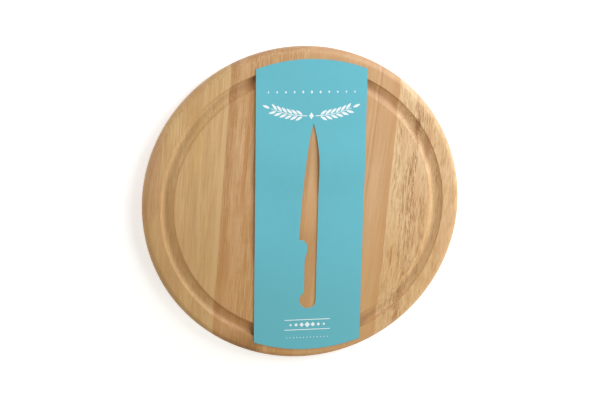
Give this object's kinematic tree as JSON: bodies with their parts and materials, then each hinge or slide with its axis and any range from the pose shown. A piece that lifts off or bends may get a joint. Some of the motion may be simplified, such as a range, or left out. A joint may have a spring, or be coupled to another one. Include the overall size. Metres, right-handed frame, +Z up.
{
  "type": "round bread board",
  "caption": "Round wooden bread board of edge-glued staves, with a rounded rim, a juice groove round its working face and a die-cut card label.",
  "frame": {"origin": "centre of the underside, the face the board lies on", "axes": "+Z up out of the working face, +Y along the grain and the glue lines towards the card's upper end, +X across the staves"},
  "size_m": [0.3, 0.3, 0.0204],
  "materials": {
    "wood_tan": "oiled, sanded fine",
    "wood_russet": "oiled, sanded fine",
    "wood_pink": "oiled, sanded fine",
    "wood_straw": "oiled, sanded fine",
    "glue": "cured wood glue",
    "card": "printed, semi-matt",
    "adhesive": "soft adhesive"
  },
  "bodies": {
    "root": {"stave_1": "wood_tan", "stave_2": "wood_russet", "stave_3": "wood_pink", "stave_4": "wood_straw", "glue_line_1": "glue", "glue_line_2": "glue", "glue_line_3": "glue", "label_card": "card", "glue_dot_1": "adhesive", "glue_dot_2": "adhesive", "glue_dot_3": "adhesive", "glue_dot_4": "adhesive", "glue_dot_5": "adhesive", "glue_dot_6": "adhesive"}
  },
  "joints": []
}
